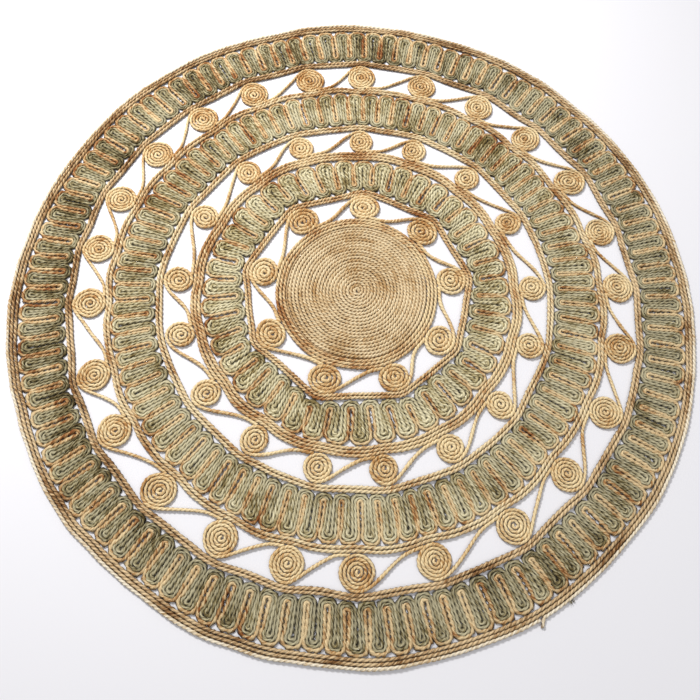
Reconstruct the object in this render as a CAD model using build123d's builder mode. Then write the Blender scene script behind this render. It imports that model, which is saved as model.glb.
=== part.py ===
"""Round openwork area rug: twisted plant-fibre cords coiled, folded and sewn side by side.

The rug lies flat with its underside on z = 0 and its middle on the Z axis. Lengths are in
millimetres and bearings in degrees, counter-clockwise from +X.
"""

import os
from math import acos, cos, degrees, pi, radians, sin, sqrt, tan

from build123d import *

# Cord stock
cord_pitch = 9.0  # space that one course of the main cord takes up
fine_pitch = 8.0  # space that one turn of the outer rosettes' cord takes up
outer_sage_diameter = 8.2  # the two greenish strands of each ribbon
middle_sage_diameter = 7.6
inner_sage_diameter = 8.5
tan_diameter = 4.4  # the fine golden strand of every ribbon
thread_diameter = 1.0
clearance = 0.1  # between neighbouring cords
belt_slack = 0.2  # between the inner rosettes and the ring round them
outline_sides = 8
strand_sides = 6

# Radii of the zones, from the middle outwards
core_half_turns = 40
disc_radius = 216.0
middle_openwork_width = 72.0
outer_openwork_width = 80.0
inner_ribbon_end = 409.5
middle_ribbon_end = 642.0
outer_ribbon_end = 873.0

# Courses of cord in each ring
disc_edge_courses = 3
inner_ring_courses = 2
fourth_ring_courses = 3
third_ring_courses = 2
second_ring_courses = 2
first_ring_courses = 2
border_courses = 3

# Rosettes, by the bearing of each one's middle
inner_bearings = (14, 51, 91, 131, 174, 215, 257, 297, 333)
middle_bearings = (7, 32, 54, 75, 94, 115, 136, 158, 182, 201, 222, 243, 264, 283, 304, 325, 347)
outer_bearings = (
    7, 21, 35, 50, 64, 79, 94, 107, 121, 135, 149, 163, 176,
    189, 205, 218, 233, 248, 262, 275, 290, 307, 322, 338, 353,
)
rosette_half_turns = 7
fine_half_turns = 9
rosettes_per_group = 5

# A rosette's tail, which crosses the openwork and ends in the corner beside the next rosette
inner_lead = 35.0  # how far the tail hugs its own coil before it leaves
outer_lead = 10.0
tail_rest = 16.0  # how much of its end lies along the ring within
tail_gap = 0.3  # between its end and the next rosette

# Folded ribbons
inner_loops = 43
middle_loops = 83
outer_loops = 110

# Loose end of the outermost border course
loose_end_bearing = 302.0
loose_end_bend = 14.0
loose_end_turn = 62.0
border_sweep = 357.6

# Derived sizes
half_side = 180 / outline_sides
main_diameter = cord_pitch - clearance
mid_height = main_diameter / 2
fine_diameter = fine_pitch - clearance
inner_openwork_end = disc_radius + (rosette_half_turns + 1) * cord_pitch
coil_reach = (rosette_half_turns / 2 + 0.75) * cord_pitch
belt_distance = coil_reach + belt_slack
fine_coil_reach = (fine_half_turns / 2 + 0.75) * fine_pitch
inner_rosette_radius = inner_openwork_end - coil_reach
middle_openwork_start = inner_ribbon_end + fourth_ring_courses * cord_pitch
middle_openwork_end = middle_openwork_start + middle_openwork_width
middle_rosette_radius = middle_openwork_end - coil_reach
middle_ribbon_start = middle_openwork_end + third_ring_courses * cord_pitch
outer_openwork_start = middle_ribbon_end + second_ring_courses * cord_pitch
outer_openwork_end = outer_openwork_start + outer_openwork_width
outer_rosette_radius = outer_openwork_end - fine_coil_reach
outer_ribbon_start = outer_openwork_end + first_ring_courses * cord_pitch
outer_course_radius = outer_ribbon_end + (border_courses - 0.5) * cord_pitch


def polar(radius, bearing, sideways=0.0):
    """Point at a radius and a bearing in radians, moved sideways counter-clockwise."""
    x = radius * cos(bearing) - sideways * sin(bearing)
    y = radius * sin(bearing) + sideways * cos(bearing)
    return x, y


def cord_outline(diameter, height):
    """Eight-sided outline of a cord above the floor line, with a flat side down."""
    with BuildSketch() as outline:
        with Locations((0, height)):
            RegularPolygon(diameter / 2, outline_sides, major_radius=False, rotation=half_side)
    return outline.sketch


def strand_outline(width, height):
    """Six-sided outline of a ribbon's strand above the floor line, with a flat side down."""
    with BuildSketch() as outline:
        with Locations((0, height)):
            RegularPolygon(width / 2, strand_sides)
    return outline.sketch


def across(path):
    """Upright plane across the start of a path that lies on the floor."""
    along = path % 0
    return Plane(origin=path @ 0, x_dir=Vector(0, 0, 1).cross(along), z_dir=along)


def half_turn(half_turns, pitch, turn):
    """Start, middle and end of one half circle of a coil, outward of and around its middle."""
    side = 1 if (half_turns - turn) % 2 == 0 else -1
    start = (-side * pitch * (2 * turn - 1) / 4, 0)
    middle = (side * pitch / 4, -side * pitch * turn / 2)
    end = (side * pitch * (2 * turn + 1) / 4, 0)
    return start, middle, end


def core_path():
    """Spiral of half circles round the Z axis."""
    with BuildLine() as line:
        for turn in range(1, core_half_turns + 1):
            ThreePointArc(*half_turn(core_half_turns, cord_pitch, turn))
    return line.wire()


def crossing(start, start_along, end, end_along):
    """Two arcs that leave the start and reach the end along the directions given."""
    span = end - start
    both = span.dot(start_along + end_along)
    bend = 2 * (1 - start_along.dot(end_along))
    leg = (sqrt(both**2 + bend * span.dot(span)) - both) / bend
    leaving_corner = start + start_along * leg
    arriving_corner = end - end_along * leg
    middle = (leaving_corner + arriving_corner) / 2
    TangentArc(start, middle, tangent=start_along)
    TangentArc(middle, end, tangent=arriving_corner - leaving_corner)


def rosette_path(bearing, next_bearing, radius, half_turns, pitch, floor_radius, lead):
    """Coil whose outer end crosses the openwork and stops beside the next coil."""
    angle = radians(bearing)
    level = floor_radius + pitch / 2
    next_middle = radius + pitch / 4
    touching = (half_turns + 2) * pitch / 2 + tail_gap
    stop = acos((level**2 + next_middle**2 - touching**2) / (2 * level * next_middle))
    rest = tail_rest / level
    with BuildLine() as line:
        for turn in range(1, half_turns + 1):
            points = half_turn(half_turns, pitch, turn)
            ThreePointArc(*[polar(radius + outward, angle, around) for outward, around in points])
        middle = polar(radius - pitch / 4, angle)
        leaving = CenterArc(middle, (half_turns + 1) * pitch / 2, bearing, lead)
        lying = CenterArc((0, 0), level, next_bearing - degrees(stop + rest), degrees(rest))
        crossing(leaving @ 1, leaving % 1, lying @ 0, lying % 0)
    return line.wire()


def next_after(bearings, index):
    """Bearing of the next rosette round the circle, past 360 for the last one."""
    if index + 1 < len(bearings):
        return bearings[index + 1]
    return bearings[0] + 360


def belt_path(distance):
    """Closed line round the inner rosettes, at a distance outside their middles."""
    edges = []
    for index, bearing in enumerate(inner_bearings):
        before = radians(inner_bearings[index - 1] - (360 if index == 0 else 0))
        here = radians(bearing)
        after = radians(next_after(inner_bearings, index))
        normal_in = (before + here) / 2
        normal_out = (here + after) / 2
        middle = Vector(*polar(inner_rosette_radius, here))
        next_middle = Vector(*polar(inner_rosette_radius, after))
        arc_start = middle + Vector(*polar(distance, normal_in))
        arc_top = middle + Vector(*polar(distance, (normal_in + normal_out) / 2))
        arc_end = middle + Vector(*polar(distance, normal_out))
        flat_end = next_middle + Vector(*polar(distance, normal_out))
        edges.append(ThreePointArc(arc_start, arc_top, arc_end, mode=Mode.PRIVATE))
        edges.append(Line(arc_end, flat_end, mode=Mode.PRIVATE))
    return Wire(edges)


def belt_edge(bearing):
    """Radius that clears the outer side of the inner ring's belt, at a bearing in radians."""
    reach = belt_distance + inner_ring_courses * cord_pitch + clearance
    radius = inner_rosette_radius + reach / cos(pi / len(inner_bearings))
    for index, first in enumerate(inner_bearings):
        half_step = radians(next_after(inner_bearings, index) - first) / 2
        away = bearing - radians(first) - half_step
        if cos(away) > 0:
            flat = inner_rosette_radius * cos(half_step) + reach
            radius = min(radius, flat / cos(away))
    return radius


def meander_path(loops, inner_edge, outer_radius, width, offset):
    """Closed line of one strand of a ribbon folded to and fro between two edges.

    The offset is the strand's distance from the ribbon's middle, towards the outside of the
    turns at the outer edge.
    """
    half_step = pi / loops / 2
    spread = sin(half_step)
    crest_middle = (outer_radius - width / 2) / (1 + spread)
    crest_arm = crest_middle * cos(half_step)
    edges = []
    for loop in range(loops):
        crest = 4 * half_step * loop
        falling = crest + half_step
        trough = crest + 2 * half_step
        rising = crest + 3 * half_step
        trough_radius = inner_edge(trough)
        trough_arm = (trough_radius + width / 2) / (1 - spread) * cos(half_step)
        crest_start = polar(crest_arm, crest - half_step, -offset)
        crest_top = polar(outer_radius - width / 2 + offset, crest)
        crest_end = polar(crest_arm, falling, offset)
        trough_start = polar(trough_arm, falling, offset)
        trough_low = polar(trough_radius + width / 2 + offset, trough)
        trough_end = polar(trough_arm, rising, -offset)
        next_crest = polar(crest_arm, rising, -offset)
        edges.append(ThreePointArc(crest_start, crest_top, crest_end, mode=Mode.PRIVATE))
        edges.append(Line(crest_end, trough_start, mode=Mode.PRIVATE))
        edges.append(ThreePointArc(trough_start, trough_low, trough_end, mode=Mode.PRIVATE))
        edges.append(Line(trough_end, next_crest, mode=Mode.PRIVATE))
    return Wire(edges)


def border_end_path():
    """Outermost course: a nearly full circle whose start bends away from the rug."""
    bend_start = loose_end_bearing
    bend_middle = polar(outer_course_radius + loose_end_bend, radians(bend_start))
    with BuildLine() as line:
        CenterArc((0, 0), outer_course_radius, bend_start, border_sweep)
        CenterArc(bend_middle, loose_end_bend, bend_start + 180, loose_end_turn)
    return line.wire()


def save(part, name):
    """Name a finished piece and write it out."""
    part.label = name
    export_step(part, f"parts/{name}.step")


def build_course(name, radius):
    """One closed circle of main cord."""
    with BuildPart() as course:
        with BuildSketch(Plane.XZ):
            with Locations((radius, 0)):
                add(cord_outline(main_diameter, mid_height))
        revolve(axis=Axis.Z)
    save(course.part, name)


def build_ring(name, inner_radius, courses):
    """Closed circles of main cord lying side by side, one piece each."""
    for course in range(courses):
        radius = inner_radius + (course + 0.5) * cord_pitch
        build_course(f"{name}_course_{course + 1}", radius)


def build_ribbon(name, loops, inner_edge, outer_radius, sage):
    """The three strands of one folded ribbon: fine golden, then two greenish ones."""
    widths = (sage, sage, tan_diameter)
    floor_height = sage / 2 * cos(pi / strand_sides)
    heights = (floor_height, floor_height, mid_height)
    labels = ("sage_strand_1", "sage_strand_2", "tan_strand")
    width = sum(widths) + clearance * len(widths)
    offset = -width / 2
    for strand_width, height, label in zip(widths, heights, labels):
        offset += (strand_width + clearance) / 2
        path = meander_path(loops, inner_edge, outer_radius, width, offset)
        with BuildPart() as strand:
            with BuildSketch(across(path)):
                add(strand_outline(strand_width, height))
            sweep(path=path)
        save(strand.part, f"{name}_{label}")
        offset += (strand_width + clearance) / 2


def build_threads(ring_starts):
    """Sewing threads, above and below, in every groove between two courses."""
    groove_bottom = main_diameter / 2 * tan(radians(half_side)) - clearance / 2
    rise = groove_bottom + (thread_diameter + clearance) / 2 / sin(pi / 4)
    heights = (mid_height - rise, mid_height + rise)
    grooves = []
    for start, courses in ring_starts:
        grooves += [start + course * cord_pitch for course in range(1, courses)]
    with BuildPart() as threads:
        with BuildSketch(Plane.XZ):
            for height in heights:
                with Locations([(groove, 0) for groove in grooves]):
                    add(cord_outline(thread_diameter, height))
        revolve(axis=Axis.Z)
        belt = belt_path(belt_distance + cord_pitch)
        for height in heights:
            with BuildSketch(across(belt)):
                add(cord_outline(thread_diameter, height))
            sweep(path=belt)
    save(threads.part, "sewing_thread")


os.makedirs("parts", exist_ok=True)

# Middle disc: a coil edged with closed courses
core = core_path()
with BuildPart() as core_coil:
    with BuildSketch(across(core)):
        add(cord_outline(main_diameter, mid_height))
    sweep(path=core)
save(core_coil.part, "disc_core")
disc_edge_start = disc_radius - disc_edge_courses * cord_pitch
build_ring("disc_edge", disc_edge_start, disc_edge_courses)

# Inner openwork: one piece of cord for each rosette and its tail
for index, bearing in enumerate(inner_bearings):
    path = rosette_path(
        bearing,
        next_after(inner_bearings, index),
        inner_rosette_radius,
        rosette_half_turns,
        cord_pitch,
        disc_radius,
        inner_lead,
    )
    with BuildPart() as inner_rosette:
        with BuildSketch(across(path)):
            add(cord_outline(main_diameter, mid_height))
        sweep(path=path)
    save(inner_rosette.part, f"inner_rosette_{index + 1}")

# Belt of courses round the inner rosettes
for course in range(inner_ring_courses):
    path = belt_path(belt_distance + (course + 0.5) * cord_pitch)
    with BuildPart() as inner_belt:
        with BuildSketch(across(path)):
            add(cord_outline(main_diameter, mid_height))
        sweep(path=path)
    save(inner_belt.part, f"inner_ring_course_{course + 1}")

build_ribbon("inner_ribbon", inner_loops, belt_edge, inner_ribbon_end, inner_sage_diameter)
build_ring("fourth_ring", inner_ribbon_end, fourth_ring_courses)

# Middle openwork
for index, bearing in enumerate(middle_bearings):
    path = rosette_path(
        bearing,
        next_after(middle_bearings, index),
        middle_rosette_radius,
        rosette_half_turns,
        cord_pitch,
        middle_openwork_start,
        outer_lead,
    )
    with BuildPart() as middle_rosette:
        with BuildSketch(across(path)):
            add(cord_outline(main_diameter, mid_height))
        sweep(path=path)
    save(middle_rosette.part, f"middle_rosette_{index + 1}")

build_ring("third_ring", middle_openwork_end, third_ring_courses)
build_ribbon(
    "middle_ribbon", middle_loops, lambda bearing: middle_ribbon_start, middle_ribbon_end,
    middle_sage_diameter,
)
build_ring("second_ring", middle_ribbon_end, second_ring_courses)

# Outer openwork: separate rosettes, grouped round the circle
for group in range(len(outer_bearings) // rosettes_per_group):
    with BuildPart() as outer_rosettes:
        for index in range(group * rosettes_per_group, (group + 1) * rosettes_per_group):
            path = rosette_path(
                outer_bearings[index],
                next_after(outer_bearings, index),
                outer_rosette_radius,
                fine_half_turns,
                fine_pitch,
                outer_openwork_start,
                outer_lead,
            )
            with BuildSketch(across(path)):
                add(cord_outline(fine_diameter, fine_diameter / 2))
            sweep(path=path)
    save(outer_rosettes.part, f"outer_rosettes_{group + 1}")

build_ring("first_ring", outer_openwork_end, first_ring_courses)
build_ribbon(
    "outer_ribbon", outer_loops, lambda bearing: outer_ribbon_start, outer_ribbon_end,
    outer_sage_diameter,
)

# Border: closed courses, then one whose end has come loose
build_ring("border", outer_ribbon_end, border_courses - 1)
path = border_end_path()
with BuildPart() as border_outer:
    with BuildSketch(across(path)):
        add(cord_outline(main_diameter, mid_height))
    sweep(path=path)
save(border_outer.part, f"border_course_{border_courses}")

build_threads(
    [
        (disc_edge_start, disc_edge_courses),
        (inner_ribbon_end, fourth_ring_courses),
        (middle_openwork_end, third_ring_courses),
        (middle_ribbon_end, second_ring_courses),
        (outer_openwork_end, first_ring_courses),
        (outer_ribbon_end, border_courses),
    ]
)
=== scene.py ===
"""Looks of the round openwork rug: every cord is a twisted, slightly uneven tube of plant fibre."""

from math import acos, asin, cos, pi, radians, sin

import bpy
import numpy as np
from mathutils import Matrix, Vector


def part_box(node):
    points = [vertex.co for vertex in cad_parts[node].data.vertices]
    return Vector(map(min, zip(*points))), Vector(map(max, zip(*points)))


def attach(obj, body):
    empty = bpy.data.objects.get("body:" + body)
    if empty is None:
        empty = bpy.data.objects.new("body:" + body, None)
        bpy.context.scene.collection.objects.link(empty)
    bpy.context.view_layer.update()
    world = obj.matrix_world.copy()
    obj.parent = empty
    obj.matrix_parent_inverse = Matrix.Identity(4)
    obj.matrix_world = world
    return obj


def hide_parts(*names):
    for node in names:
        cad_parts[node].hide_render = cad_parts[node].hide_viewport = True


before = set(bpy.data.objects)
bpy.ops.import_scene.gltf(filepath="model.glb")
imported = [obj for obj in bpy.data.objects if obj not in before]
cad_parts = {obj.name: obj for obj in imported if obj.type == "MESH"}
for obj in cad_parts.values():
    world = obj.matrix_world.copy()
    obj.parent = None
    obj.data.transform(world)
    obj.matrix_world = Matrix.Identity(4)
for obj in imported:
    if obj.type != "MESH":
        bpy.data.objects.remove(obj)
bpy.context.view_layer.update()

rng = np.random.default_rng(7)

MM = 0.001
CORD_PITCH = 9.0 * MM  # the space one course of main cord takes up
FINE_PITCH = 8.0 * MM  # the same for the outer rosettes' cord
RING_STEP = 2.8 * MM  # between two rings of a tube's vertices
ROSETTE_LEAD = radians(10)
INNER_LEAD = radians(35)
TAIL_REST = 16 * MM  # how much of a rosette's tail lies along the ring within

# ---------------------------------------------------------------- sizes from the frame


def outer_radius(node):
    low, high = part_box(node)
    return (high[0] - low[0]) / 2


def course_radius(node):
    """Radius of the middle of a closed course of main cord."""
    return outer_radius(node) - CORD_PITCH / 2


def islands(node):
    """Vertices of each separate solid of a node, as arrays of points."""
    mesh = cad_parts[node].data
    points = np.empty(len(mesh.vertices) * 3)
    mesh.vertices.foreach_get("co", points)
    points = points.reshape(-1, 3)
    _, same = np.unique(np.round(points, 6), axis=0, return_inverse=True)
    same = same.ravel()
    edges = np.empty(len(mesh.edges) * 2, dtype=np.int64)
    mesh.edges.foreach_get("vertices", edges)
    edges = same[edges.reshape(-1, 2)]
    label = np.arange(same.max() + 1)
    while True:
        low = np.minimum(label[edges[:, 0]], label[edges[:, 1]])
        new = label.copy()
        np.minimum.at(new, edges[:, 0], low)
        np.minimum.at(new, edges[:, 1], low)
        new = new[new]
        if (new == label).all():
            break
        label = new
    of_point = label[same]
    return [points[of_point == name] for name in np.unique(of_point)]


def coil_bearing(points, radius, half_turns, pitch):
    """Bearing of a rosette's middle, from the clockwise side of its coil."""
    bearing = np.arctan2(points[:, 1], points[:, 0])
    middle = np.arctan2(np.sin(bearing).mean(), np.cos(bearing).mean())
    away = (bearing - middle + pi) % (2 * pi) - pi
    reach = (half_turns + 1) * pitch / 2
    return (middle + away.min() + asin(reach / (radius + pitch / 4))) % (2 * pi)


# ---------------------------------------------------------------- small unevenness of the whole rug

WAVES = 30
SHORTEST_WAVE = 0.07
LONGEST_WAVE = 0.5
WAVE_STEEPNESS = 0.0017
wave_length = np.geomspace(SHORTEST_WAVE, LONGEST_WAVE, WAVES)
wave_turn = rng.uniform(0, 2 * pi, WAVES)
wave_phase = rng.uniform(0, 2 * pi, (2, WAVES))
wave_size = WAVE_STEEPNESS * wave_length


def drift(points):
    """Small smooth sideways shift, the same for cords that touch, so that they stay in touch."""
    along = points[:, 0:1] * np.cos(wave_turn) + points[:, 1:2] * np.sin(wave_turn)
    shift = np.zeros_like(points)
    for axis in (0, 1):
        shift[:, axis] = (np.sin(2 * pi * along / wave_length + wave_phase[axis]) * wave_size).sum(1)
    return shift


BULGE_LEVEL = 0.45  # taken off the swelling, so that rings draw in between two rosettes
BULGE_SIDE = 22 * MM  # within which the push turns from inwards to outwards
BULGE_REACH = 45 * MM  # to either side of the circle, past which the push fades
BULGE_FADE = 38 * MM
bulges = []  # (radius, bearings, size, width) of each circle of rosettes that pushes its rings apart


def bulge(points):
    """Rings swell round each rosette and draw in between them."""
    radius = np.hypot(points[:, 0], points[:, 1])
    bearing = np.arctan2(points[:, 1], points[:, 0])
    move = np.zeros(len(points))
    for circle, bearings, size, width in bulges:
        away = (bearing[:, None] - np.array(bearings)[None, :] + pi) % (2 * pi) - pi
        near = np.exp(-((away * circle / width) ** 2)).sum(1) - BULGE_LEVEL
        side = np.tanh((radius - circle) / BULGE_SIDE)
        fade = np.exp(-np.maximum(np.abs(radius - circle) - BULGE_REACH, 0) / BULGE_FADE)
        move += size * near * side * fade
    return points[:, :2] * (move / np.maximum(radius, MM))[:, None]


def settle(points):
    """Where points of a true circle or coil lie on the real, uneven rug."""
    moved = points + drift(points)
    moved[:, :2] += bulge(points)
    return moved


# ---------------------------------------------------------------- cords

TWIST_WANDER = 0.5  # how far the lay runs ahead or behind, in radians
TWIST_SPACING = 50 * MM
GIRTH_SPACING = 24 * MM
SWAY_SPACING = 80 * MM
ROUGHNESS = 0.04  # of each point's reach from the cord's middle
UNDERSIDE = 0.15 * MM  # lowest that a cord's points lie
SKIRT_SLOPE = 2.2  # how soon below the cord's middle the underside is spread in full
LIFT_BY_GIRTH = 0.5  # share of a fuller cord's extra radius that lifts its middle
LAY_OFFSET = 40  # the fibre pattern of each cord starts up to this far along, in metres
CUT_SHADE = 1.3  # groove depth of a cut end, past the deepest groove, so that cut ends are painted darker with the shade colour than any groove


def wander(place, length, spacing, closed):
    """Smooth random values along a cord, about one new value for each spacing."""
    knots = max(4, int(length / spacing))
    values = rng.standard_normal(knots + 1)
    if closed:
        values[-1] = values[0]
    u = np.clip(place / length, 0, 1) * knots
    i = np.minimum(u.astype(int), knots - 1)
    f = u - i
    f = f * f * (3 - 2 * f)
    return values[i] * (1 - f) + values[i + 1] * f


def resample(points, closed, step):
    """Evenly spaced points along a path, and how far along each one is."""
    if closed:
        points = np.vstack((points, points[:1]))
    gap = np.linalg.norm(np.diff(points, axis=0), axis=1)
    points = points[np.r_[True, gap > 1e-9]]
    place = np.r_[0, np.cumsum(gap[gap > 1e-9])]
    count = max(6, int(round(place[-1] / step)))
    at = np.linspace(0, place[-1], count + 1)
    if closed:
        at = at[:-1]
    return np.stack([np.interp(at, place, points[:, k]) for k in range(3)], 1), at, place[-1]


def path_place(path):
    """How far along an open path each of its points is."""
    return np.r_[0, np.cumsum(np.linalg.norm(np.diff(path, axis=0), axis=1))]


def walls(rings, sides, closed, shift):
    """Quads between neighbouring rings of points, and the ring and side of each corner.

    A closed tube's last ring meets its first one turned by the shift, in sides.
    """
    i = np.arange(rings if closed else rings - 1)[:, None]
    j = np.arange(sides)[None, :]
    i_next = (i + 1) % rings
    j_next = (j + 1) % sides
    j_far = np.where(i + 1 == rings, (j + shift) % sides, j + 0 * i)
    j_far_next = (j_far + 1) % sides
    quads = np.stack((
        i * sides + j_next, i_next * sides + j_far_next, i_next * sides + j_far, i * sides + j
    ), 2).reshape(-1, 4)
    ring_of = np.stack((i + 0 * j, i + 1 + 0 * j, i + 1 + 0 * j, i + 0 * j), 2).reshape(-1)
    side_of = np.stack((j + 1 + 0 * i, j + 1 + 0 * i, j + 0 * i, j + 0 * i), 2).reshape(-1)
    return quads, ring_of, side_of


def caps(rings, sides):
    """Quads that close both ends of an open tube, round one more point at each end."""
    first, final = rings * sides, rings * sides + 1
    base = (rings - 1) * sides
    k = np.arange(0, sides, 2)
    return np.vstack((
        np.stack((k, 0 * k + first, (k + 2) % sides, (k + 1) % sides), 1),
        np.stack((base + k, base + (k + 1) % sides, base + (k + 2) % sides, 0 * k + final), 1),
    ))


def tube(path, radius, bump, closed=False, sides=8, step=RING_STEP, depth=0.2, uneven=0.06,
         height=None, sway=0.3 * MM, girth=None, skirt=0.2):
    """A two-ply twisted cord along a path: its points, quads, corner lay and groove depth.

    One ply shows for each bump's length. The girth scales the radius at each point of the path.
    The skirt spreads the underside; lying low, the spread takes the materials' painted shade colour and
    stands in for the shade where cords meet the floor and each other.
    """
    line, place, length = resample(path, closed, step)
    line = settle(line)
    rings = len(line)
    along = np.roll(line, -1, 0) - np.roll(line, 1, 0) if closed else np.gradient(line, axis=0)
    along[:, 2] = 0
    along /= np.maximum(np.linalg.norm(along, axis=1), 1e-9)[:, None]
    left = np.stack((-along[:, 1], along[:, 0], np.zeros(rings)), 1)
    bumps = round(length / bump) if closed else length / bump
    turn = -pi * bumps * place / length + TWIST_WANDER * wander(place, length, TWIST_SPACING, closed)
    size = radius * (1 + uneven * wander(place, length, GIRTH_SPACING, closed))
    middle = radius if height is None else height
    middle = middle + sway * wander(place, length, SWAY_SPACING, closed)
    if girth is not None:
        grow = np.interp(place, path_place(path), girth)
        size *= grow
        middle += radius * LIFT_BY_GIRTH * (grow - 1)
    rel = 2 * pi * np.arange(sides) / sides
    angle = rel[None, :] + turn[:, None]
    lobe = 1 - depth + depth * np.cos(2 * rel)[None, :] * np.ones((rings, 1))
    lobe *= 1 + ROUGHNESS * rng.standard_normal(lobe.shape)
    reach = size[:, None] * lobe
    spread = 1 + skirt * np.clip(-np.sin(angle) * SKIRT_SLOPE, 0, 1)
    verts = line[:, None, :] + left[:, None, :] * (np.cos(angle) * reach * spread)[..., None]
    verts[..., 2] += middle[:, None] + np.sin(angle) * reach
    verts[..., 2] = np.maximum(verts[..., 2], UNDERSIDE)
    verts = verts.reshape(-1, 3)
    shift = int(round((turn[-1] - pi * bumps / rings - turn[0]) / (2 * pi / sides))) if closed else 0
    quads, ring_of, side_of = walls(rings, sides, closed, shift)
    ends = np.append(place, length) + rng.uniform(0, LAY_OFFSET)
    rel_of = 2 * pi * side_of / sides
    lay = np.stack((ends[ring_of], radius * np.cos(rel_of), radius * np.sin(rel_of)), 1)
    groove = np.tile(0.5 - 0.5 * np.cos(2 * rel), rings)
    if not closed:
        tips = line[[0, -1]].copy()
        tips[:, 2] += middle[[0, -1]]
        verts = np.vstack((verts, tips))
        groove = np.append(groove, (CUT_SHADE, CUT_SHADE))
        lids = caps(rings, sides)
        quads = np.vstack((quads, lids))
        lay = np.vstack((lay, np.tile([[ends[0], 0, 0]], (4 * len(lids), 1))))
    return verts, quads, lay, groove


def piece_of(name, tubes, material, nodes):
    """One mesh from several tubes, standing for its CAD nodes."""
    verts, quads, lay, groove, count = [], [], [], [], 0
    for points, faces, lays, grooves in tubes:
        verts.append(points)
        quads.append(faces + count)
        lay.append(lays)
        groove.append(grooves)
        count += len(points)
    verts, quads = np.vstack(verts), np.vstack(quads)
    mesh = bpy.data.meshes.new(name)
    mesh.vertices.add(len(verts))
    mesh.vertices.foreach_set("co", verts.ravel())
    mesh.loops.add(quads.size)
    mesh.loops.foreach_set("vertex_index", quads.ravel().astype(np.int32))
    mesh.polygons.add(len(quads))
    mesh.polygons.foreach_set("loop_start", np.arange(0, quads.size, 4, dtype=np.int32))
    mesh.update(calc_edges=True)
    mesh.attributes.new("lay", "FLOAT_VECTOR", "CORNER").data.foreach_set("vector", np.vstack(lay).ravel())
    mesh.attributes.new("groove", "FLOAT", "POINT").data.foreach_set("value", np.concatenate(groove))
    mesh.shade_smooth()
    mesh.materials.append(material)
    piece = bpy.data.objects.new(name, mesh)
    bpy.context.scene.collection.objects.link(piece)
    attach(piece, "root")
    if nodes:
        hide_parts(*nodes)
    return piece


# ---------------------------------------------------------------- paths

CIRCLE_POINTS = 720
TURN_POINTS = 60  # in each turn of a coil
CROSSING_POINTS = 50
LEAVING_POINTS = 10
LYING_POINTS = 16
BELT_POINTS = 12  # round each inner rosette
CREST_POINTS = 20
TROUGH_POINTS = 16
ARM_POINTS = 8
COIL_EYE = 0.22  # radius at which a coil starts, in pitches
TAIL_CLOSE = 0.72  # the tail's end slips this share of the way out of the corner beside the next coil
TAIL_PULL = (0.22, 0.4)  # how straight a tail leaves and arrives
BELT_CORNER = 1.06  # the belt's farthest reach past the rosettes' middles, in reaches
CREST_SQUARE = 2.7
TROUGH_SQUARE = 2.4


def polar(radius, bearing, sideways=0.0):
    return np.array((
        radius * cos(bearing) - sideways * sin(bearing),
        radius * sin(bearing) + sideways * cos(bearing),
        0.0,
    ))


def unit(bearing):
    return np.array((cos(bearing), sin(bearing), 0.0))


def arc(centre, radius, start, end, points, square=2.0):
    """Arc of a circle, or of a rounder-cornered square where square is more than 2."""
    a = np.linspace(start, end, points)
    away = a - (start + end) / 2
    radius = radius / (np.abs(np.cos(away)) ** square + np.abs(np.sin(away)) ** square) ** (1 / square)
    return np.stack((centre[0] + radius * np.cos(a), centre[1] + radius * np.sin(a), 0 * a), 1)


def circle(radius, middle=(0, 0)):
    return arc(middle, radius, 0, 2 * pi, CIRCLE_POINTS + 1)[:-1]


def spiral(inner, outer, pitch, end_bearing, middle):
    """Counter-clockwise spiral from the inside out that ends at a bearing from its middle."""
    turns = (outer - inner) / pitch
    a = np.linspace(end_bearing - 2 * pi * turns, end_bearing, int(turns * TURN_POINTS) + 2)
    r = np.linspace(inner, outer, len(a))
    return np.stack((middle[0] + r * np.cos(a), middle[1] + r * np.sin(a), 0 * a), 1)


def hand_on(start, start_along, end, end_along, pull):
    """Smooth crossing from one tangent to another."""
    gap = np.linalg.norm(end - start)
    a, b = start + start_along * gap * pull, end - end_along * gap * pull
    t = np.linspace(0, 1, CROSSING_POINTS)[:, None]
    return (1 - t) ** 3 * start + 3 * (1 - t) ** 2 * t * a + 3 * (1 - t) * t * t * b + t ** 3 * end


def rosette(bearing, next_bearing, radius, half_turns, pitch, floor_radius, lead, stretch):
    """A coil, its tail across the openwork and its end in the corner beside the next coil."""
    centre = polar(radius, bearing)
    reach = pitch * (2 * half_turns + 1) / 4
    coil = spiral(COIL_EYE * pitch, reach, pitch, bearing, centre)
    leaving = arc(centre, reach, bearing, bearing + lead, LEAVING_POINTS)[1:]
    coil = np.vstack((coil, leaving))
    sideways = unit(bearing + pi / 2)
    coil += sideways * ((coil - centre) @ sideways)[:, None] * (stretch - 1)
    if next_bearing < bearing:
        next_bearing += 2 * pi
    level = floor_radius + pitch / 2
    far = radius + pitch / 4
    touching = (half_turns + 2) * pitch / 2
    stop = acos((level ** 2 + far ** 2 - touching ** 2) / (2 * level * far))
    rest = TAIL_REST / level
    lying = arc((0, 0), level, next_bearing - stop * stretch - rest, next_bearing - stop * TAIL_CLOSE,
                LYING_POINTS)
    tail = hand_on(coil[-1], unit(bearing + lead + pi / 2), lying[0],
                   unit(next_bearing - stop - rest + pi / 2), rng.uniform(*TAIL_PULL))
    return np.vstack((coil, tail[1:-1], lying))


def belt(bearings, radius, distance):
    """Closed line round equal circles, at a distance from their middles."""
    parts = []
    for k, here in enumerate(bearings):
        before = bearings[k - 1] - (2 * pi if k == 0 else 0)
        after = bearings[(k + 1) % len(bearings)] + (2 * pi if k + 1 == len(bearings) else 0)
        parts.append(arc(polar(radius, here), distance, (before + here) / 2, (here + after) / 2,
                         BELT_POINTS))
    return np.vstack(parts)


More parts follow.
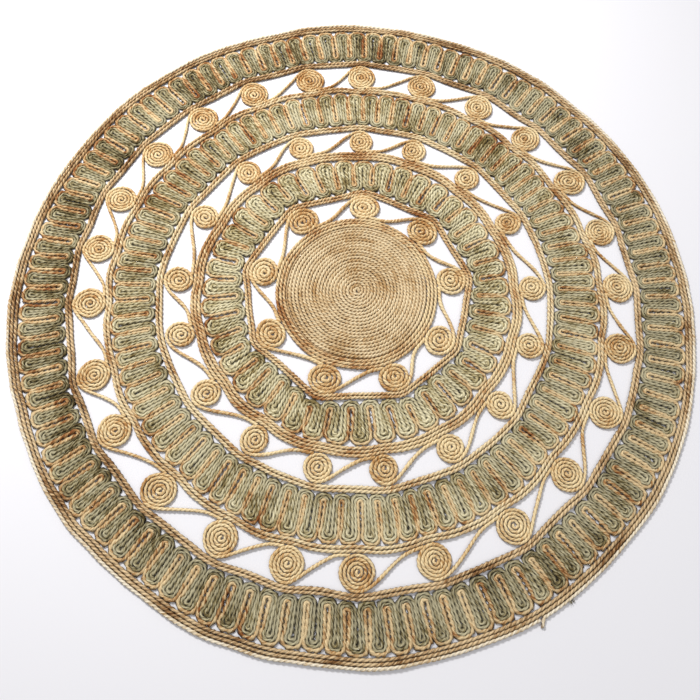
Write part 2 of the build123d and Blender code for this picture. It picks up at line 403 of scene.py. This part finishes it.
def belt_edge(bearings, radius, reach, bearing):
    """Radius of a belt's outer side at a bearing."""
    best = radius + reach * BELT_CORNER
    for k, first in enumerate(bearings):
        after = bearings[(k + 1) % len(bearings)] + (2 * pi if k + 1 == len(bearings) else 0)
        half = (after - first) / 2
        away = bearing - first - half
        if cos(away) > 0:
            best = min(best, (radius * cos(half) + reach) / cos(away))
    return best


def ribbon_turns(loops, uneven):
    """Bearings of a ribbon's arms, and how far each turn stands off its edge, from 0 to 1."""
    arms = ((np.arange(2 * loops) - 0.5) + uneven * rng.uniform(-1, 1, 2 * loops)) * pi / loops
    return arms, rng.uniform(0, 1, 2 * loops)


def strand(turns, inner_edge, outer_edge, width, offset, slack, widest, narrowest, lean):
    """Closed line of one strand of a folded ribbon, and how much it widens along the way.

    The arms of a turn lean apart at its round end, by the lean, so that a hollow is left in it.
    """
    arms, short = turns
    count = len(arms)
    parts = {0.0: [], offset: []}
    for k in range(0, count, 2):
        a, b = arms[k], arms[k + 1]
        c = arms[(k + 2) % count] + (2 * pi if k + 2 == count else 0)
        crest, top_half = (a + b) / 2, (b - a) / 2 + lean / outer_edge
        top = (outer_edge - slack * short[k] - widest * width / 2) / (1 + sin(top_half))
        trough = (b + c) / 2
        low_edge = inner_edge(trough) + slack * short[k + 1]
        low_half = (c - b) / 2 + lean / low_edge
        low = (low_edge + narrowest * width / 2) / (1 - sin(low_half))
        for side, part in parts.items():
            part.append(arc(polar(top, crest), top * sin(top_half) + side,
                            crest - top_half - pi / 2, crest + top_half + pi / 2,
                            CREST_POINTS, CREST_SQUARE))
            low_start = trough - low_half - pi / 2
            fall = np.linspace(part[-1][-1], arc(polar(low, trough), low * sin(low_half) - side,
                                                 low_start, trough, 2)[0], ARM_POINTS)
            part.append(fall[1:-1])
            part.append(arc(polar(low, trough), low * sin(low_half) - side,
                            low_start, trough + low_half - 3 * pi / 2, TROUGH_POINTS, TROUGH_SQUARE))
            rise = np.linspace(part[-1][-1],
                               polar(outer_edge - widest * width, c + lean / outer_edge, -side), ARM_POINTS)
            part.append(rise[1:-1])
    middle = np.vstack(parts[0.0])
    spread = np.vstack(parts[offset]) - middle
    radius = np.hypot(middle[:, 0], middle[:, 1])
    outward = np.clip((radius - radius.min()) / (radius.max() - radius.min()), 0, 1)
    girth = narrowest + (widest - narrowest) * outward
    return middle + spread * girth[:, None], girth


# ---------------------------------------------------------------- materials

STREAK = (14 * MM, 0.9 * MM)  # length and width of the finest fibres' streaks
LONG_STREAK = (18 * MM, 1.1 * MM)
BLOT = (34 * MM, 5 * MM)  # length and width of the blots along a cord
TONE_LENGTH = 150 * MM  # over which a cord's tone changes
PATCHES = 7  # of another tone, to each metre of the rug
STREAK_SHARE = 0.75
BLOT_SHARE = 0.65
TONE_SHARE = 0.6
PATCH_SHARE = 0.6
TONE_LEVEL = 0.25  # taken off the tone and the patches, so that the ramp's places hold
PATCH_LEVEL = 0.33
PAINTED_LIGHT_SLOPE = 0.035  # painted light: how much paler each metre towards +X and -Y is
DARK_PLACE = 0.78
MIDDLE_PLACE = 0.9
FULL_SHADE_HEIGHT = 2.5 * MM  # painted shade: below this height the cords take the shade colour at nearly full strength
# Strength of the painted shade at and below that height
HOLLOW_SHADE = 0.95


def srgb(*levels):
    """Linear colour from levels of 0 to 255."""
    return tuple((c / 255 / 12.92 if c / 255 < 0.04045 else ((c / 255 + 0.055) / 1.055) ** 2.4)
                 for c in levels) + (1.0,)


def fibre(name, light, middle, dark, shade_colour, streak=STREAK, lit=7.2 * MM, groove_shade=0.55):
    """Plant fibre: streaks that follow the twist, tones that change along the cord, painted shade in the
    grooves.

    The last of the four colours is painted shade: it covers each cord from the lit height down, standing in
    for the shade in the hollows between cords, and, by the groove share, the grooves between the plies, where
    shade falls.
    """
    material = bpy.data.materials.new(name)
    material.use_nodes = True
    nodes, links = material.node_tree.nodes, material.node_tree.links
    shader = nodes["Principled BSDF"]
    shader.inputs["Roughness"].default_value = 0.78
    shader.inputs["Sheen Weight"].default_value = 0.05
    shader.inputs["Sheen Roughness"].default_value = 0.5
    shader.inputs["Specular IOR Level"].default_value = 0.2

    def node(kind, **inputs):
        made = nodes.new(kind)
        for key, value in inputs.items():
            made.inputs[key.replace("_", " ")].default_value = value
        return made

    def math(kind, a, b):
        made = nodes.new("ShaderNodeMath")
        made.operation = kind
        for socket, value in zip(made.inputs, (a, b)):
            if isinstance(value, (int, float)):
                socket.default_value = value
            else:
                links.new(value, socket)
        return made.outputs[0]

    def noise(vector, scale, detail):
        stretched = nodes.new("ShaderNodeVectorMath")
        stretched.operation = "MULTIPLY"
        links.new(vector, stretched.inputs[0])
        stretched.inputs[1].default_value = scale
        made = node("ShaderNodeTexNoise", Scale=1.0, Detail=detail, Roughness=0.6)
        links.new(stretched.outputs[0], made.inputs["Vector"])
        return made.outputs["Fac"]

    lay = nodes.new("ShaderNodeAttribute")
    lay.attribute_name = "lay"
    groove = nodes.new("ShaderNodeAttribute")
    groove.attribute_name = "groove"
    place = nodes.new("ShaderNodeTexCoord")
    fine = noise(lay.outputs["Vector"], (1 / streak[0], 1 / streak[1], 1 / streak[1]), 3.0)
    blot = noise(lay.outputs["Vector"], (1 / BLOT[0], 1 / BLOT[1], 1 / BLOT[1]), 2.0)
    tone = noise(lay.outputs["Vector"], (1 / TONE_LENGTH, 0, 0), 2.0)
    patch = noise(place.outputs["Object"], (PATCHES, PATCHES, 0), 2.0)
    apart = nodes.new("ShaderNodeSeparateXYZ")
    links.new(place.outputs["Object"], apart.inputs[0])
    # Painted light: the cords are paler towards +X and -Y and darker towards -X and +Y
    painted_side_light = math("MULTIPLY", math("SUBTRACT", apart.outputs["X"], apart.outputs["Y"]), PAINTED_LIGHT_SLOPE)
    grain = math("ADD", math("MULTIPLY", fine, STREAK_SHARE), math("MULTIPLY", blot, BLOT_SHARE))
    cast = math("ADD", math("MULTIPLY", math("SUBTRACT", tone, TONE_LEVEL), TONE_SHARE),
                math("MULTIPLY", math("SUBTRACT", patch, PATCH_LEVEL), PATCH_SHARE))
    mixed = math("ADD", math("ADD", grain, cast), painted_side_light)
    ramp = nodes.new("ShaderNodeValToRGB")
    links.new(mixed, ramp.inputs["Fac"])
    stops = ramp.color_ramp.elements
    stops[0].position, stops[0].color = DARK_PLACE, dark
    stops[1].position, stops[1].color = 1.0, light
    middle_stop = stops.new(MIDDLE_PLACE)
    middle_stop.color = middle
    # Painted shade: the lower a point of the cord lies, the more it takes the shade colour, as if in the
    # shade of the hollows
    low = nodes.new("ShaderNodeMapRange")
    links.new(apart.outputs["Z"], low.inputs["Value"])
    low.inputs["From Min"].default_value = FULL_SHADE_HEIGHT
    low.inputs["From Max"].default_value = lit
    low.inputs["To Min"].default_value = HOLLOW_SHADE
    low.inputs["To Max"].default_value = 0.0
    # Painted shade share: the larger of the low parts' shade and the grooves' shade between the plies
    shade = math("MAXIMUM", low.outputs[0], math("MULTIPLY", math("POWER", groove.outputs["Fac"], 2.0), groove_shade))
    mix = nodes.new("ShaderNodeMix")
    mix.data_type = "RGBA"
    links.new(shade, mix.inputs[0])
    links.new(ramp.outputs["Color"], mix.inputs[6])
    mix.inputs[7].default_value = shade_colour
    links.new(mix.outputs[2], shader.inputs["Base Color"])
    bump = node("ShaderNodeBump", Strength=0.7, Distance=0.5 * MM)
    links.new(fine, bump.inputs["Height"])
    links.new(bump.outputs[0], shader.inputs["Normal"])
    return material


# The fourth colour of each fibre is painted shade for its low parts, grooves and cut ends
golden = fibre("golden_fibre", srgb(250, 230, 188), srgb(220, 182, 128), srgb(156, 100, 48), srgb(50, 25, 6),
               lit=7.8 * MM, groove_shade=0.5)
umber = fibre("umber_fibre", srgb(240, 212, 168), srgb(196, 156, 106), srgb(118, 74, 34), srgb(32, 15, 3),
              lit=8.4 * MM, groove_shade=0.6)
brown = fibre("brown_fibre", srgb(248, 224, 178), srgb(216, 172, 116), srgb(154, 92, 42), srgb(56, 27, 6),
              lit=7.8 * MM, groove_shade=0.5)
straw = fibre("straw_fibre", srgb(240, 220, 182), srgb(216, 190, 146), srgb(184, 144, 92), srgb(132, 90, 40),
              groove_shade=0.45)
coil_fibre = fibre("rosette_fibre", srgb(248, 226, 180), srgb(226, 190, 134), srgb(178, 124, 66),
                   srgb(84, 46, 14), groove_shade=0.3)
pale = fibre("pale_fibre", srgb(254, 244, 222), srgb(234, 214, 178), srgb(190, 154, 106), srgb(100, 66, 32),
             groove_shade=0.4)
sage = fibre("sage_fibre", srgb(244, 234, 196), srgb(204, 188, 138), srgb(128, 108, 58), srgb(26, 18, 4),
             streak=LONG_STREAK, lit=8.5 * MM, groove_shade=0.45)
olive = fibre("olive_fibre", srgb(232, 222, 184), srgb(184, 168, 118), srgb(98, 80, 38), srgb(14, 9, 2),
              streak=LONG_STREAK, lit=9.0 * MM, groove_shade=0.5)
tan = fibre("tan_fibre", srgb(250, 224, 176), srgb(216, 170, 110), srgb(142, 80, 34), srgb(30, 13, 3),
            lit=7.6 * MM)
thread = fibre("thread_fibre", srgb(190, 150, 100), srgb(150, 108, 64), srgb(110, 70, 34), srgb(80, 44, 20))

# ---------------------------------------------------------------- the rug, from the middle outwards

RING_CORD = 4.9 * MM  # radii of the cords
BORDER_CORD = 4.6 * MM
CORE_CORD = 4.8 * MM
INNER_COIL_CORD = 5.2 * MM
MIDDLE_COIL_CORD = 4.85 * MM
OUTER_COIL_CORD = 4.5 * MM
THREAD = 0.5 * MM
RING_BUMP = 13 * MM  # lengths over which a ply shows
BELT_BUMP = 11 * MM
CORE_BUMP = 10.5 * MM
COIL_BUMP = 11 * MM
TAN_BUMP = 12 * MM
THREAD_BUMP = 6 * MM
RING_DEPTH = 0.16  # how far the grooves between the plies sink, as a share of the radius
CORE_DEPTH = 0.2
COIL_DEPTH = 0.12
TAN_DEPTH = 0.17
nodes_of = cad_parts


def courses(prefix):
    """A ring's nodes, from the inside out."""
    found = [name for name in nodes_of if name.startswith(prefix + "_course_")]
    return sorted(found, key=lambda name: outer_radius(name))


def lay_ring(prefix, material):
    """Every course of a ring, as a closed circle of cord."""
    for name in courses(prefix):
        body = tube(circle(course_radius(name)), RING_CORD, RING_BUMP, closed=True, depth=RING_DEPTH)
        piece_of(name + "_cord", [body], material, [name])


INNER_STRETCH = 1.17  # how much wider round the rug than across it the coils of each openwork are
MIDDLE_STRETCH = 1.05
OUTER_STRETCH = 1.1
HALF_TURNS = 7
FINE_HALF_TURNS = 9
BELT_INSET = 9.15 * MM  # from the inner coils' reach to the outer side of the belt's first course
COIL_REACH = (HALF_TURNS / 2 + 0.75) * CORD_PITCH
FINE_COIL_REACH = (FINE_HALF_TURNS / 2 + 0.75) * FINE_PITCH

disc_edge = courses("disc_edge")
inner_ring = courses("inner_ring")
fourth_ring = courses("fourth_ring")
third_ring = courses("third_ring")
second_ring = courses("second_ring")
first_ring = courses("first_ring")
border = courses("border")

disc_radius = outer_radius(disc_edge[-1])
inner_points = np.vstack(islands(inner_ring[0]))
inner_circle = np.hypot(inner_points[:, 0], inner_points[:, 1]).max() - COIL_REACH - BELT_INSET
middle_circle = course_radius(third_ring[0]) - CORD_PITCH / 2 - COIL_REACH
outer_circle = course_radius(first_ring[0]) - CORD_PITCH / 2 - FINE_COIL_REACH


def rosettes(prefix, radius, half_turns, pitch):
    """(bearing, node) of every rosette, counter-clockwise."""
    found = []
    for name in nodes_of:
        if name.startswith(prefix):
            found += [(coil_bearing(points, radius, half_turns, pitch), name) for points in islands(name)]
    return sorted(found)


inner_coils = rosettes("inner_rosette_", inner_circle, HALF_TURNS, CORD_PITCH)
middle_coils = rosettes("middle_rosette_", middle_circle, HALF_TURNS, CORD_PITCH)
outer_coils = rosettes("outer_rosettes_", outer_circle, FINE_HALF_TURNS, FINE_PITCH)
bulges.append((middle_circle, [b for b, _ in middle_coils], 4.5 * MM, 36 * MM))
bulges.append((outer_circle, [b for b, _ in outer_coils], 6.5 * MM, 42 * MM))

# Middle disc
core_outer = course_radius(disc_edge[0]) - CORD_PITCH
CORE_END = 0.4  # bearing, in radians
CORE_EYE = 2 * MM
THINNEST = 0.12
coiled = spiral(CORE_EYE, core_outer, CORD_PITCH, CORE_END, (0, 0))
left_over = np.linspace(1, THINNEST, 90)[1:]  # the last turn thins out against the first closed course
runout = CORE_END + 2 * pi * (1 - left_over)
runout_radius = core_outer + CORD_PITCH / 2 * (1 - left_over)
runout_path = np.stack((runout_radius * np.cos(runout), runout_radius * np.sin(runout), 0 * runout), 1)
core = tube(np.vstack((coiled, runout_path)), CORE_CORD, CORE_BUMP, depth=CORE_DEPTH, skirt=0.6,
            girth=np.r_[np.ones(len(coiled)), left_over])
piece_of("disc_core_cord", [core], straw, ["disc_core"])
lay_ring("disc_edge", brown)

# Inner openwork and its belt
INNER_PITCH = 9.6 * MM  # the inner rosettes' cord is a little fuller than the rest
inner_visual = disc_radius + INNER_PITCH * (2 * HALF_TURNS + 1) / 4
INNER_REACH = (HALF_TURNS / 2 + 0.75) * INNER_PITCH
for k, (bearing, name) in enumerate(inner_coils):
    path = rosette(bearing, inner_coils[(k + 1) % len(inner_coils)][0], inner_visual, HALF_TURNS,
                   INNER_PITCH, disc_radius, INNER_LEAD, INNER_STRETCH)
    body = tube(path, INNER_COIL_CORD, COIL_BUMP, depth=COIL_DEPTH)
    piece_of(name + "_cord", [body], coil_fibre, [name])
inner_bearings = [b for b, _ in inner_coils]
for k, name in enumerate(inner_ring):
    path = belt(inner_bearings, inner_visual, INNER_REACH + (k + 0.5) * CORD_PITCH)
    body = tube(path, RING_CORD, BELT_BUMP, closed=True)
    piece_of(name + "_cord", [body], brown, [name])

lay_ring("fourth_ring", brown)

# Middle openwork
middle_floor = outer_radius(fourth_ring[-1])
for k, (bearing, name) in enumerate(middle_coils):
    path = rosette(bearing, middle_coils[(k + 1) % len(middle_coils)][0], middle_circle, HALF_TURNS,
                   CORD_PITCH, middle_floor, ROSETTE_LEAD, MIDDLE_STRETCH)
    body = tube(path, MIDDLE_COIL_CORD, COIL_BUMP, depth=COIL_DEPTH)
    piece_of(name + "_cord", [body], coil_fibre, [name])
lay_ring("third_ring", golden)
lay_ring("second_ring", golden)

# Outer openwork
outer_floor = outer_radius(second_ring[-1])
grouped = {}
for k, (bearing, name) in enumerate(outer_coils):
    path = rosette(bearing, outer_coils[(k + 1) % len(outer_coils)][0], outer_circle, FINE_HALF_TURNS,
                   FINE_PITCH, outer_floor, ROSETTE_LEAD, OUTER_STRETCH)
    grouped.setdefault(name, []).append(tube(path, OUTER_COIL_CORD, COIL_BUMP, depth=COIL_DEPTH))
for name, tubes in grouped.items():
    piece_of(name + "_cord", tubes, coil_fibre, [name])
lay_ring("first_ring", umber)

# Folded ribbons
SAGE_BUMP = 15 * MM
STRAND_STEP = 3.2 * MM
UNEVEN_ARMS = 0.075
SLACK = 2.5 * MM  # how far a turn may stop short of its edge
TAN_TOP = 7.8 * MM
SAGE_LIFT = 0.4 * MM
INSIDE_SKIRT = 1.6  # the first strand's underside fills the hollow inside each crest, a low flap in the painted shade colour where there would be shade
# The other strands' spread undersides lie low too and take the painted shade colour in the same way
SAGE_SKIRT = 0.9
TAN_SKIRT = 2.2


def lay_ribbon(prefix, loops, inner_edge, outer_edge, width, shares, fit, lean, material, bump, depth):
    """Two greenish strands and a fine golden one, folded to and fro.

    The shares are each strand's part of the width. The fit scales the width at the inner and the
    outer turns.
    """
    turns = ribbon_turns(loops, UNEVEN_ARMS)
    side = -width / 2
    for label, share in zip(("sage_strand_1", "sage_strand_2", "tan_strand"), shares):
        size = share * width
        side += size / 2
        path, girth = strand(turns, inner_edge, outer_edge, width, side, SLACK, fit[1], fit[0], lean)
        name = f"{prefix}_{label}"
        if label == "tan_strand":
            body = tube(path, size / 2, TAN_BUMP, closed=True, step=STRAND_STEP, depth=TAN_DEPTH,
                        height=TAN_TOP - size / 2, sides=6, skirt=TAN_SKIRT)
            piece_of(name + "_cord", [body], tan, [name])
        else:
            skirt = INSIDE_SKIRT if label == "sage_strand_1" else SAGE_SKIRT
            body = tube(path, size / 2, bump, closed=True, step=STRAND_STEP, depth=depth, uneven=0.07,
                        height=size / 2 + SAGE_LIFT, girth=girth, skirt=skirt)
            piece_of(name + "_cord", [body], material, [name])
        side += size / 2


belt_reach = INNER_REACH + 0.3 * MM + 2 * CORD_PITCH
lay_ribbon("inner_ribbon", 43, lambda b: belt_edge(inner_bearings, inner_visual, belt_reach, b),
           course_radius(fourth_ring[0]) - CORD_PITCH / 2, 21.7 * MM, (0.38, 0.38, 0.24), (0.9, 1.22),
           1.5 * MM, sage, 13 * MM, 0.23)
lay_ribbon("middle_ribbon", 83, lambda b: outer_radius(third_ring[-1]),
           course_radius(second_ring[0]) - CORD_PITCH / 2, 19.9 * MM, (0.375, 0.375, 0.25), (0.9, 1.08),
           1.2 * MM, sage, SAGE_BUMP, 0.21)
lay_ribbon("outer_ribbon", 110, lambda b: outer_radius(first_ring[-1]),
           course_radius(border[0]) - CORD_PITCH / 2, 21.1 * MM, (0.35, 0.35, 0.30), (0.9, 1.05),
           1.5 * MM, olive, SAGE_BUMP, 0.24)

# Border, with the loose end of its outermost course
for name in border[:-1]:
    body = tube(circle(course_radius(name)), BORDER_CORD, RING_BUMP, closed=True, depth=RING_DEPTH)
    piece_of(name + "_cord", [body], umber, [name])
outer_course = course_radius(border[1]) + CORD_PITCH
LOOSE_END = radians(302)
STUB_REACH = 13 * MM
CUT_POINTS = 16  # two rings of points at the cut end, which is painted with the shade colour
stub_tip = polar(outer_course + STUB_REACH, LOOSE_END - radians(0.1))
stub_root = polar(outer_course, LOOSE_END + radians(1.0))
stub = hand_on(stub_tip, unit(LOOSE_END + radians(195)) * -1, stub_root,
               unit(LOOSE_END + radians(1.0) + pi / 2), 0.4)
round_edge = arc((0, 0), outer_course, LOOSE_END + radians(1.1), LOOSE_END + radians(360.15), CIRCLE_POINTS)
loose_course = tube(np.vstack((stub, round_edge)), BORDER_CORD, RING_BUMP, depth=RING_DEPTH)
loose_groove = loose_course[3]
# Painted shade on the cut end of the loose stub
loose_groove[:CUT_POINTS] = CUT_SHADE
piece_of(border[-1] + "_cord", [loose_course], pale, [border[-1]])

# Fibres that have worked loose from the cords, and a frayed tuft at the edge


HAIR_POINTS = 7
HAIR_BEND = 0.9
HAIRS_EACH = 34  # in each zone of the rug
HAIR = 0.22 * MM
TUFT_HAIR = 0.45 * MM
TUFT_HAIRS = 14
TUFT_BEARING = radians(307.5)
TUFT_SPREAD = 0.007


def hair(start, bearing, length, radius, height):
    """A short fibre that lies across the cords, bent to one side."""
    turn = bearing + np.linspace(0, rng.uniform(-HAIR_BEND, HAIR_BEND), HAIR_POINTS)
    steps = np.stack((np.cos(turn), np.sin(turn), 0 * turn), 1) * length / HAIR_POINTS
    return tube(start + np.cumsum(steps, 0), radius, 30 * MM, sides=4, step=3 * MM, height=height,
                sway=0.5 * MM)


zones = [(0.0, disc_radius)]
zones += [(course_radius(ring[0]), course_radius(ring[-1])) for ring in
          (fourth_ring, third_ring, second_ring, first_ring, border)]
zones += [(outer_radius(third_ring[-1]), course_radius(second_ring[0])),
          (outer_radius(first_ring[-1]), course_radius(border[0]))]
hairs = []
for within, beyond in zones:
    for _ in range(HAIRS_EACH):
        bearing = rng.uniform(0, 2 * pi)
        start = polar(np.sqrt(rng.uniform(within ** 2, beyond ** 2)), bearing)
        hairs.append(hair(start, bearing + pi / 2 + rng.uniform(-0.7, 0.7), rng.uniform(7, 20) * MM,
                          HAIR, rng.uniform(8.7, 9.8) * MM))
piece_of("loose_fibres", hairs, straw, [])
tuft = []
for _ in range(TUFT_HAIRS):
    bearing = TUFT_BEARING + rng.uniform(-TUFT_SPREAD, TUFT_SPREAD)
    tuft.append(hair(polar(outer_course + 2 * MM, bearing), bearing + rng.uniform(-0.8, 0.8),
                     rng.uniform(5, 12) * MM, TUFT_HAIR, rng.uniform(2.0, 6.0) * MM))
piece_of("frayed_tuft", tuft, olive, [])

# Sewing thread in the grooves, below and above the cords' middle
SEAM_LEVELS = (0.9 * MM, 5.2 * MM)
THREAD_STEP = 6 * MM
seams = []
for ring in (disc_edge, fourth_ring, third_ring, second_ring, first_ring, border):
    for k in range(len(ring) - 1):
        groove_radius = course_radius(ring[0]) + (k + 0.5) * CORD_PITCH
        for level in SEAM_LEVELS:
            seams.append(tube(circle(groove_radius), THREAD, THREAD_BUMP, closed=True, sides=4,
                              step=THREAD_STEP, height=level))
for level in SEAM_LEVELS:
    path = belt(inner_bearings, inner_visual, INNER_REACH + CORD_PITCH)
    seams.append(tube(path, THREAD, THREAD_BUMP, closed=True, sides=4, step=THREAD_STEP, height=level))
piece_of("sewing_thread_seams", seams, thread, ["sewing_thread"])

# ---------------------------------------------------------------- floor, light and camera

FLOOR_REACH = 9
floor_corners = [(-FLOOR_REACH, -FLOOR_REACH, 0), (FLOOR_REACH, -FLOOR_REACH, 0),
                 (FLOOR_REACH, FLOOR_REACH, 0), (-FLOOR_REACH, FLOOR_REACH, 0)]
floor_mesh = bpy.data.meshes.new("floor")
floor_mesh.from_pydata(floor_corners, [], [(0, 1, 2, 3)])
floor = bpy.data.objects.new("floor", floor_mesh)
bpy.context.scene.collection.objects.link(floor)
floor_material = bpy.data.materials.new("floor_white")
floor_material.use_nodes = True
floor_shader = floor_material.node_tree.nodes["Principled BSDF"]
floor_shader.inputs["Base Color"].default_value = (0.87, 0.87, 0.92, 1)
floor_shader.inputs["Roughness"].default_value = 0.9
floor_mesh.materials.append(floor_material)


def area_light(name, place, size, power, colour):
    """A square light that faces the middle of the rug."""
    lamp = bpy.data.lights.new(name, "AREA")
    lamp.size = size
    lamp.energy = power
    lamp.color = colour
    holder = bpy.data.objects.new(name, lamp)
    holder.location = place
    holder.rotation_euler = (-Vector(place)).to_track_quat("-Z", "Y").to_euler()
    bpy.context.scene.collection.objects.link(holder)


area_light("window", place=(-1.5, 1.7, 2.4), size=0.55, power=108, colour=(1.0, 0.985, 0.96))
area_light("fill", place=(1.8, -1.2, 2.6), size=2.0, power=12, colour=(1.0, 0.99, 0.98))
world = bpy.data.worlds.new("studio")
world.use_nodes = True
sky = world.node_tree.nodes["Background"]
sky.inputs["Color"].default_value = (1.0, 0.99, 0.98, 1)
sky.inputs["Strength"].default_value = 0.44
bpy.context.scene.world = world
bpy.context.scene.view_settings.view_transform = "Standard"

ELEVATION = radians(71.6)
ROLL = radians(5.51)
LOOK = Vector((-0.004, -0.164, 0.0))
DISTANCE = 1.541
LENS = 30.86
SENSOR = 36
back = Vector((0, -cos(ELEVATION), sin(ELEVATION)))
right = Vector((1, 0, 0))
up = back.cross(right)
camera = bpy.data.objects.new("camera", bpy.data.cameras.new("camera"))
camera.data.lens = LENS
camera.data.sensor_width = SENSOR
side_axis = cos(ROLL) * right + sin(ROLL) * up
up_axis = -sin(ROLL) * right + cos(ROLL) * up
turned = Matrix((side_axis, up_axis, back)).transposed().to_4x4()
turned.translation = LOOK + back * DISTANCE
camera.matrix_world = turned
bpy.context.scene.collection.objects.link(camera)
bpy.context.scene.camera = camera
